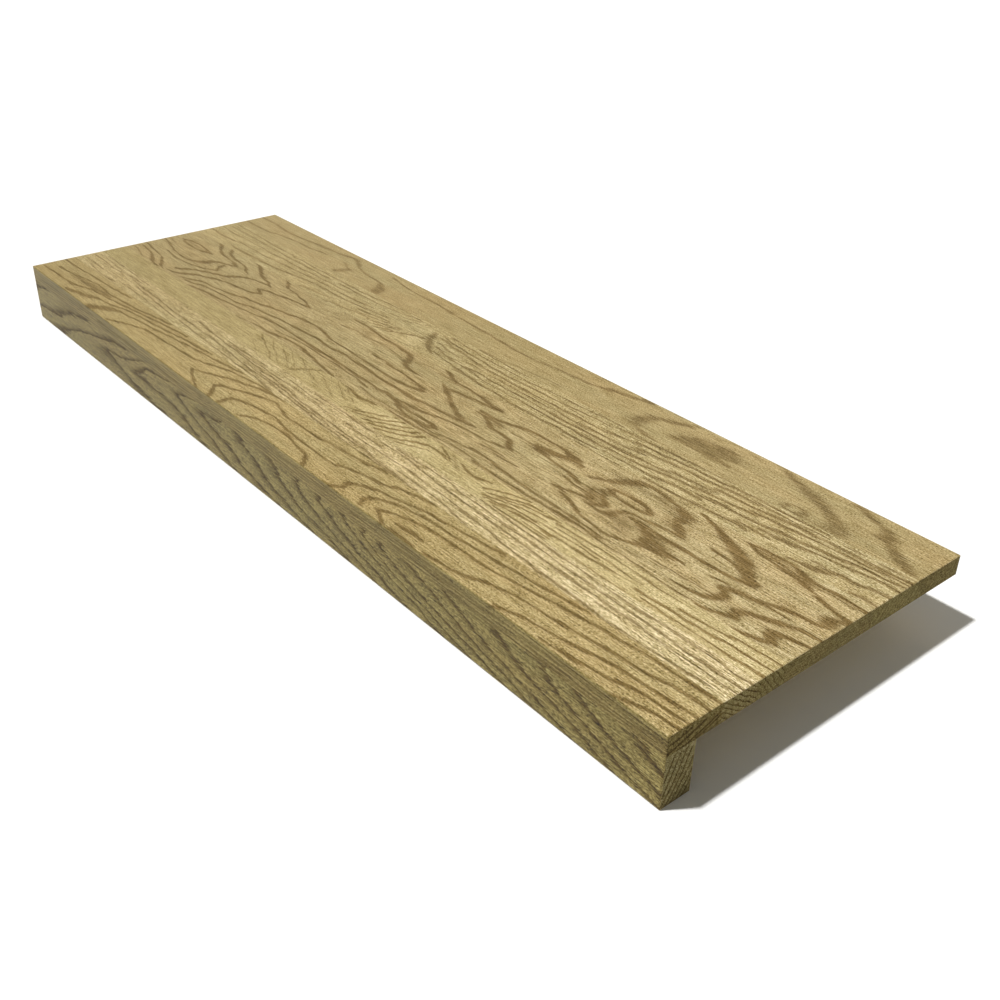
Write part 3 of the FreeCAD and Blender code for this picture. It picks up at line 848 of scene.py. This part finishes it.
stave5 = {
    **anyBoard, "node": "stave_5", "slot": "rift_sawn_oak", "finish": "oiled rift sawn oak, fifth",
    "steps": (70, 8, 450), "slant": -0.8,
    "look": {
        **oak, "seed": 17.9, "late": "#ae9763", "lateGreen": "#a69768", "bands": 0.62, "fibre": 0.55,
        "endTint": "#b2b39a"},
    # two small lighter patches of local tone, and painted sheen at the right end
    "toneAndSheen": [(391, 87, 12, 8, 0.3), (366, 56, 8, 5, 0.25), (914, 75, 280, 200, 0.16)],
    "veins": [
        (0.55, 1.1, [(10, 53.5), (145, 57.5), (260, 57.5), (285, 56), (300, 53), (315, 53), (330, 51.5)]),
        (0.6, 1.1, [(10, 61.5), (120, 63.5), (218, 63)]),
        (0.65, 1, [(232, 62.5), (300, 62), (312, 61), (325, 58.5), (338, 57), (360, 52)]),
        (0.55, 1.1, [(6, 70), (30, 72), (90, 71.5), (110, 72), (200, 70), (225, 68.5), (260, 68.5)]),
        (0.65, 1.1, [(57, 81.5), (95, 81), (115, 82), (200, 76), (260, 75.5), (308, 72)]),
        (0.6, 1.5, [(5, 84.5), (25, 85.5), (54, 85)]),
        (0.65, 1, [(68, 94, 1.6), (85, 94.5, 2), (100, 94, 1.6), (158, 91.5, 2), (205, 84, 1.3),
            (220, 82.5), (240, 82), (260, 82.5), (308, 79)]),
        (0.55, 1.3, [(213, 97.5), (230, 94.5), (260, 91, 0.9)]),
        (0.65, 1, [(262, 98.4), (291, 94.4), (312, 90), (326, 89.6, 0.8)]),
        (0.55, 0.8, [(303, 77), (320, 76), (337, 74)]),
        (0.75, 0.65, [(300, 84.5), (348, 79)]),
        (0.75, 0.65, [(304, 88.4), (340, 83.2), (353, 80.2)]),
        (0.85, 0.6, [(326, 92.6), (366, 80.8)]),
        (0.85, 0.6, [(332, 96.2), (346, 92), (367, 83)]),
        (0.85, 0.6, [(345, 98), (364, 88.6)]),
        (0.85, 0.6, [(358, 95.6), (386, 79.6, 0.8), (398, 75.2, 0.9)]),
        (0.5, 0.9, [(308, 100), (330, 99.2), (352, 100)]),
        (0.7, 0.55, [(330, 66), (345, 63), (366, 53)]),
        (0.6, 0.55, [(345, 68), (358, 64), (378, 53)]),
        (0.62, 1.6, [(396, 60), (404, 74, 2.4), (419, 86.4), (428, 90.6, 1.1)]),
        (0.65, 0.8, [(448, 50.8), (505, 52.6, 1), (522, 51.6)]),
        (0.7, 0.9, [(414, 54), (480, 58.6), (510, 59.2), (535, 59), (552, 57), (592, 54.8)]),
        (0.75, 0.9, [(406, 58), (422, 62), (440, 62.8), (452, 64.2), (474, 64), (486, 66, 1.2),
            (550, 64.6), (592, 62)]),
        (0.75, 1.1, [(410, 63, 0.9), (428, 66.2, 0.9), (450, 68.2), (470, 71), (490, 72), (592, 71.5)]),
        (0.65, 0.9, [(416, 71), (436, 75.2), (460, 75.4), (496, 77.6), (592, 77.2, 1.1)]),
        (0.75, 1.1, [(420, 77.5, 0.9), (436, 82.4, 0.9), (455, 84.6), (470, 85), (486, 82.2), (500, 83),
            (560, 82.6), (592, 83.5, 1.3)]),
        (0.7, 0.9, [(428, 86), (445, 89, 1.1), (465, 91.6, 1.3), (497, 93.6)]),
        (0.65, 1, [(478, 85.4, 0.8), (496, 88), (535, 89.2), (560, 88.6), (592, 89)]),
        (0.75, 1.1, [(468, 94.4, 0.9), (490, 94.6), (506, 96.2), (525, 95.6), (546, 97.6), (566, 96.6),
            (586, 97.6), (594, 97.4)]),
        (0.6, 1, [(590, 55), (615, 53), (638, 52.5)]),
        (0.7, 1.2, [(638, 57, 0.9), (670, 54.5, 1.6), (685, 53), (715, 51.8), (750, 51.5)]),
        (0.7, 1, [(590, 62), (615, 59.8), (632, 59.3)]),
        (0.7, 1.2, [(663, 61.8), (705, 59.3), (715, 57.8), (730, 57.5), (740, 56.4), (750, 56.2),
            (775, 53.5), (795, 53.5), (842, 52, 0.9)]),
        (0.55, 1.2, [(590, 65.3), (605, 66.5, 0.8)]),
        (0.7, 1.2, [(638, 68.6, 1.6), (648, 67), (656, 64.6), (668, 64)]),
        (0.75, 1.2, [(673, 68.8), (690, 67.5, 1.5), (715, 64.3), (735, 63.5, 1.5), (750, 61.4),
            (770, 59.8), (786, 60.5, 0.9)]),
        (0.8, 1.3, [(752, 67.4), (785, 65.3), (812, 62), (830, 60.8), (850, 60.4), (858, 58.9),
            (900, 58.5), (914, 57.3)]),
        (0.65, 1, [(780, 57.6), (810, 58), (844, 55.8)]),
        (0.6, 1, [(858, 54.8), (872, 54.4)]),
        (0.6, 1.1, [(886, 53.6), (914, 53)]),
        (0.7, 1.5, [(590, 71.5), (605, 70.2, 1.1), (636, 70.3, 0.8)]),
        (0.75, 1.3, [(590, 77.2), (605, 77.8), (650, 75.4, 1.6), (676, 74, 0.9)]),
        (0.6, 1, [(667, 70.5), (681, 71.8, 1.3)]),
        (0.65, 1.8, [(712, 75, 1), (726, 73.8), (736, 72.4), (752, 71.2, 1.5)]),
        (0.8, 1.2, [(740, 77.2), (780, 74), (790, 71.8, 1.8), (800, 70), (845, 65), (895, 62),
            (914, 61.4)]),
        (0.8, 1.4, [(590, 83.6), (600, 83.8), (610, 82.5), (640, 82.8), (650, 81.8), (672, 81.4, 1.1),
            (712, 77.3, 1.1)]),
        (0.75, 1.2, [(590, 89), (650, 89), (675, 87.5), (688, 86.5), (697, 84), (707, 83),
            (716, 81.3, 1.6), (723, 80), (750, 77.6)]),
        (0.85, 1.3, [(748, 84), (770, 81.2, 1.8), (785, 80.8), (810, 78.5), (818, 76.6), (828, 75.3),
            (840, 75), (850, 72.4), (858, 72), (878, 68.6), (914, 65.6, 1)]),
        (0.75, 1.3, [(658, 93), (708, 91.5), (726, 88.5, 1.7), (752, 86.8)]),
        (0.7, 1.2, [(790, 87.8), (800, 89), (818, 89)]),
        (0.75, 1.3, [(808, 84.4), (822, 84, 1.7), (833, 82.5), (860, 77), (882, 74.5), (892, 72.5),
            (903, 71.5), (914, 71.3)]),
        (0.75, 1.2, [(590, 97.5), (605, 96.3, 1.5), (635, 96), (650, 95)]),
        (0.7, 1.3, [(708, 97.8), (740, 96.5), (752, 95.4, 1.8), (765, 95.8), (790, 91.6, 1.8),
            (800, 93.8)]),
        (0.8, 1.7, [(844, 97.6, 1.2), (863, 94.8, 2), (873, 88.2), (879, 86.4), (886, 87, 1.3),
            (903, 83), (914, 82)]),
        (0.6, 1.1, [(857, 88), (869, 88)]),
        (0.65, 1.7, [(897, 97.4), (907, 96.6), (914, 97.4)]),
        (0.55, 0.9, [(615, 100.1), (660, 100.4), (680, 99.6)]),
    ],
    "rings": [
        (0, [(0, 54), (217, 56), (330, 52)]), (1, [(0, 62.5), (217, 62.5), (370, 52)]),
        (2, [(0, 71), (217, 70), (365, 60)]), (3, [(0, 82), (217, 76), (330, 72)]),
        (4, [(40, 93.5), (150, 91.5), (228, 82), (340, 78)]),
        (5, [(225, 91), (328, 85), (385, 66), (405, 73), (457, 91.5), (686, 87.5), (914, 72)]),
        (4, [(400, 58), (430, 78), (560, 83.5), (760, 75.5), (914, 67)]),
        (3, [(420, 62), (457, 77.5), (686, 73.5), (914, 62)]),
        (2, [(435, 62), (560, 71), (760, 62), (914, 57)]),
        (6, [(340, 97), (378, 84), (410, 92), (560, 96.5), (760, 89), (914, 77)]),
        (7, [(760, 97), (850, 88), (914, 82)]),
    ],
}

backStave = {
    **anyBoard, "node": "back_stave", "slot": "flat_sawn_oak", "finish": "oiled flat sawn oak, back",
    "rounds": {"topBack": cut["arris"]}, "shown": ("top", "back"), "steps": (70, 20, 300),
    # its back face takes a little painted shade
    "taper": 1.5, "deep": -0.3, "edge": 0.2,
    "look": {**oak, "seed": 21.6, "bands": 0.54, "fibre": 0.45, "mottle": 1.9, "endTint": "#b2b39a"},
    # a small lighter patch of local tone, and painted sheen at the right end
    "toneAndSheen": [(786, 37, 13, 5, 0.14), (850, 25, 250, 60, 0.045)],
    "veins": [
        (0.65, 2, [(3, 17, 1.4), (20, 16.5, 1.8), (35, 17.5, 2.4), (60, 21.5), (90, 20, 1.8),
            (125, 15.5), (160, 13, 2.2), (182, 9), (190, 10.5), (207, 19.5, 1.8), (216, 23, 1.4),
            (226, 25, 1.2), (238, 26.3, 1.2), (250, 26.5, 1.2), (258, 28.5), (266, 33, 3),
            (270, 38, 3.5), (272, 43, 3.5), (276, 47, 2.5)]),
        (0.6, 1.3, [(3, 38.5), (48, 38.5, 1.6), (68, 33), (95, 30), (110, 29), (125, 29), (138, 28),
            (152, 25)]),
        (0.55, 2, [(206, 31), (200, 44, 2.5), (199, 47, 1.6)]),
        (0.4, 1.5, [(185, 24), (205, 31.5)]),
        (0.7, 1.3, [(255, 8.5), (280, 13.5), (300, 15), (335, 15), (390, 19.5), (405, 19.8), (435, 22),
            (450, 22.5), (472, 25), (500, 24.5), (508, 22.5), (520, 21), (535, 20.5), (562, 18.5),
            (570, 17), (585, 12, 2)]),
        (0.45, 1.1, [(450, 50), (475, 49), (495, 46.5), (535, 43), (552, 43)]),
        (0.8, 1.6, [(585, 11.5, 2.3), (605, 7.5), (622, 2)]),
        (0.55, 2.4, [(676, 4, 1.6), (662, 11, 2.8), (655, 15), (648, 17), (642, 20, 2.8),
            (637, 35, 3.6), (638, 39, 3.2), (644, 43), (660, 48.5), (670, 49.5, 1.6)]),
        (0.65, 4, [(690, 20, 2.5), (700, 18, 3), (708, 15.5, 2), (718, 16), (725, 20)]),
        (0.75, 2.5, [(680, 26), (692, 26, 4.5), (702, 23, 6), (712, 22, 7), (722, 23, 5)]),
        (0.8, 4, [(677, 32, 2.5), (688, 32, 3), (700, 31), (710, 31), (722, 33, 2.2), (732, 34, 1.5)]),
        (0.55, 4, [(770, 6, 2.5), (800, 17), (810, 20), (816, 24), (825, 28), (832, 32, 3.5), (838, 37),
            (842, 42, 4.5), (843, 46)]),
        (0.6, 2.5, [(833, 3), (840, 5), (846, 9, 2), (855, 12, 2), (865, 14, 2.2), (870, 20, 3),
            (870, 26, 3), (876, 28), (890, 38, 3), (905, 48)]),
        (0.6, 1.3, [(797, 44), (799, 40.5), (804, 38.7, 0.87), (810, 39.5), (814, 41, 1.55), (813, 45),
            (808, 48), (800, 48.3), (797, 45.5)]),
        (0.5, 2, [(810, 48), (835, 48, 1.5)]),
    ],
    "rings": [
        (1, [(0, 16.5), (75, 18), (188, 10), (228, 24), (267, 40)]),
        (2, [(0, 39.5), (92, 31), (180, 27), (203, 46)]),
        (0, [(245, 9), (362, 16), (490, 23), (577, 13), (615, 2.5)]), (0.35, [(400, 40), (580, 40)]),
        (1, [(674, 5), (640, 25), (665, 48)]), (2, [(690, 25), (718, 15), (736, 33), (711, 33)]),
        (1, [(773, 7), (823, 25), (848, 48)]), (0, [(833, 2), (876, 25), (906, 47)]),
    ],
}

# ring lines of the strip are drawn on its front: mm from the left end, mm below the tread's top
nosingStrip = {
    **anyBoard, "node": "nosing_strip", "slot": "flat_sawn_oak", "finish": "oiled flat sawn oak, nosing",
    "face": "front", "rounds": {"footFront": 1.6}, "shown": ("front", "foot"), "steps": (30, 54, 300),
    # its front face takes the whole painted shade
    "taper": 0.8, "slant": 0.12, "deep": -0.34, "lead": 0.3, "edge": 1.0, "plainTop": 0.0, "plainEnd": 0.7,
    "look": {
        **oak, "seed": 25.3, "late": "#b69c6b", "lateGreen": "#ab9b6f", "bands": 1.0, "endTint": "#bcc2b2"},
    # painted sheen at the right end, darker at the left end
    "toneAndSheen": [(914, 30, 350, 200, 0.07), (0, 30, 300, 200, -0.07)],
    # lines of the end grain: (mm below the tread's top, mm behind its front)
    "endVeins": [
        (0.55, 0.8, [(18, 8), (24, 5.5), (30, 3.5), (36, 1)]),
        (0.55, 0.8, [(18, 13.5), (26, 10), (34, 7), (48, 1)]),
        (0.55, 0.8, [(18, 18.5), (34, 12), (42, 8.5), (55, 1)]),
        (0.55, 0.8, [(20, 22.5), (36, 16.5), (52, 7.5), (57, 4)]),
        (0.55, 0.8, [(28, 24.5), (36, 21.5), (51, 12.5), (57, 8.5)]),
        (0.55, 0.8, [(38, 25), (45, 22), (57, 13)]),
        (0.55, 0.8, [(46, 25), (52, 21.5), (57, 17.5)]),
    ],
    "rings": [
        (2, [(2, 40), (20, 37), (37, 35), (53, 31), (72, 25), (83, 19), (100, 17)]),
        (2.5, [(62, 40), (17, 45)]),
        (3, [(72, 43), (97, 36), (117, 32), (142, 27.5), (160, 23), (180, 17.5)]),
        (4, [(213, 50), (200, 47), (177, 41), (157, 36), (178, 31), (200, 30), (215, 26), (228, 22.5),
            (245, 18)]),
        (5, [(283, 39), (245, 38.5), (226, 37), (233, 30), (245, 26), (259, 20), (301, 15.5)]),
        (6, [(385, 46), (374, 43), (360, 40), (345, 36), (335, 32), (322, 27.5), (310, 24), (328, 18),
            (352, 15.5)]),
        (7, [(450, 51), (433, 47.5), (420, 44), (408, 39), (395, 37), (378, 32), (362, 27.5), (352, 24),
            (362, 21), (378, 19), (397, 16)]),
        (8, [(502, 49), (482, 46), (470, 41), (457, 35), (447, 29), (435, 25), (427, 20), (422, 16)]),
        (9, [(540, 47), (524, 43), (512, 39), (499, 34), (490, 29), (482, 23), (474, 15)]),
        (10, [(615, 53), (599, 49), (580, 45), (564, 41), (549, 37), (535, 32), (524, 27), (515, 21),
            (515, 15)]),
        (11, [(640, 52), (607, 43.5), (589, 39), (577, 34), (565, 29), (554, 24), (546, 21), (547, 15)]),
        (12, [(677, 48.5), (652, 44), (637, 39.5), (624, 35), (610, 31), (595, 26), (583, 20),
            (585, 15)]),
        (13, [(700, 48), (677, 43), (657, 38), (640, 32.5), (624, 27), (611, 21), (612, 15)]),
        (14, [(711, 43), (686, 38), (665, 33), (649, 28), (637, 23), (632, 19), (634, 15)]),
        (15, [(774, 48), (753, 44), (736, 40), (716, 34), (699, 30), (686, 25), (665, 18.5), (649, 15)]),
        (16, [(803, 48), (786, 44), (761, 37.5), (744, 32), (731, 28), (719, 24), (708, 20), (703, 16)]),
        (17, [(850, 50), (828, 44), (816, 41), (799, 37.5), (786, 32.5), (774, 27), (759, 20),
            (751, 16.5)]),
        (18, [(874, 47), (861, 42.5), (844, 37.5), (828, 32.5), (814, 27), (806, 21), (803, 16)]),
        (19, [(904, 44), (886, 39), (869, 34), (853, 28), (840, 22.5), (836, 17.5)]),
        (20, [(914, 34.5), (904, 32), (894, 27), (888, 21), (881, 16)]),
    ],
}

for board in (frontStave, stave2, stave3, stave4, stave5, backStave, nosingStrip):
    makeBoard(board)

# stage: a pale floor, a high key lamp from the front left and three weak panels behind and beside it
stage = {
    "floor": "#f9f9f8", "floorSize": 80.0, "floorRough": 0.95, "floorShine": 0.1,
    "room": 0.182, "roomTint": "#fdfdf4",
    "keyWay": (0.22, 0.331, -0.918), "keyAngle": 3.5, "keyPower": 3.3,
    "panels": [
        {"at": (-0.55, 1.25, 1.15), "to": (0.38, -0.05, 0.05), "size": 0.9, "power": 3.0, "tint": "#fff0d8"},
        {"at": (1.6, 0.4, 1.0), "to": (0.4, 0.0, 0.03), "size": 1.2, "power": 0.7, "tint": "#fff8ea"},
        {"at": (-3.2, 1.35, 1.2), "to": (-0.3, 0.0, 0.05), "size": 2.0, "power": 4.5, "tint": "#f4f8ff"},
    ],
}


def plainFloor():
    mesh = bpy.data.meshes.new("floor")
    half = stage["floorSize"] / 2
    corners = [(-half, -half, 0), (half, -half, 0), (half, half, 0), (-half, half, 0)]
    mesh.from_pydata(corners, [], [(0, 1, 2, 3)])
    floor = bpy.data.objects.new("floor", mesh)
    bpy.context.scene.collection.objects.link(floor)
    material = bpy.data.materials.new("matt studio paper")      # white, with hardly any shine
    material.use_nodes = True
    shader = material.node_tree.nodes["Principled BSDF"]
    shader.inputs["Base Color"].default_value = hexToLinear(stage["floor"])
    shader.inputs["Roughness"].default_value = stage["floorRough"]
    shader.inputs["Specular IOR Level"].default_value = stage["floorShine"]
    mesh.materials.append(material)


def studioLight():
    scene = bpy.context.scene
    world = bpy.data.worlds.new("studio")
    world.use_nodes = True
    room = world.node_tree.nodes["Background"]
    room.inputs["Color"].default_value = hexToLinear(stage["roomTint"])
    room.inputs["Strength"].default_value = stage["room"]
    scene.world = world
    key = bpy.data.lights.new("key", "SUN")
    key.energy = stage["keyPower"]
    key.angle = math.radians(stage["keyAngle"])
    lamp = bpy.data.objects.new("key", key)
    lamp.rotation_euler = Vector(stage["keyWay"]).to_track_quat("-Z", "Y").to_euler()
    scene.collection.objects.link(lamp)
    for panel in stage["panels"]:
        light = bpy.data.lights.new("panel", "AREA")
        light.shape = "SQUARE"
        light.size = panel["size"]
        light.energy = panel["power"]
        light.color = hexToLinear(panel["tint"])[:3]
        soft = bpy.data.objects.new("panel", light)
        soft.location = panel["at"]
        soft.rotation_euler = (Vector(panel["to"]) - Vector(panel["at"])).to_track_quat("-Z", "Y").to_euler()
        scene.collection.objects.link(soft)
    scene.view_settings.view_transform = "Standard"


# camera, solved from the tread's corners in the picture
view = {
    "at": (0.76962, -0.5401, 0.50868), "lens": 42.793, "sensor": 36.0, "clip": (0.01, 200),
    "right": (0.63939, 0.76857, 0.02217), "up": (-0.41251, 0.31855, 0.85344),
    "ahead": (-0.64886, 0.55483, -0.52072),
}


def setCamera():
    camera = bpy.data.cameras.new("camera")
    camera.lens = view["lens"]
    camera.sensor_width = view["sensor"]
    camera.clip_start, camera.clip_end = view["clip"]
    stand = bpy.data.objects.new("camera", camera)
    turn = Matrix((view["right"], view["up"], [-v for v in view["ahead"]])).transposed()
    stand.matrix_world = Matrix.Translation(view["at"]) @ turn.to_4x4()
    bpy.context.scene.collection.objects.link(stand)
    bpy.context.scene.camera = stand


plainFloor()
studioLight()
setCamera()
print("stage, lights and camera set")
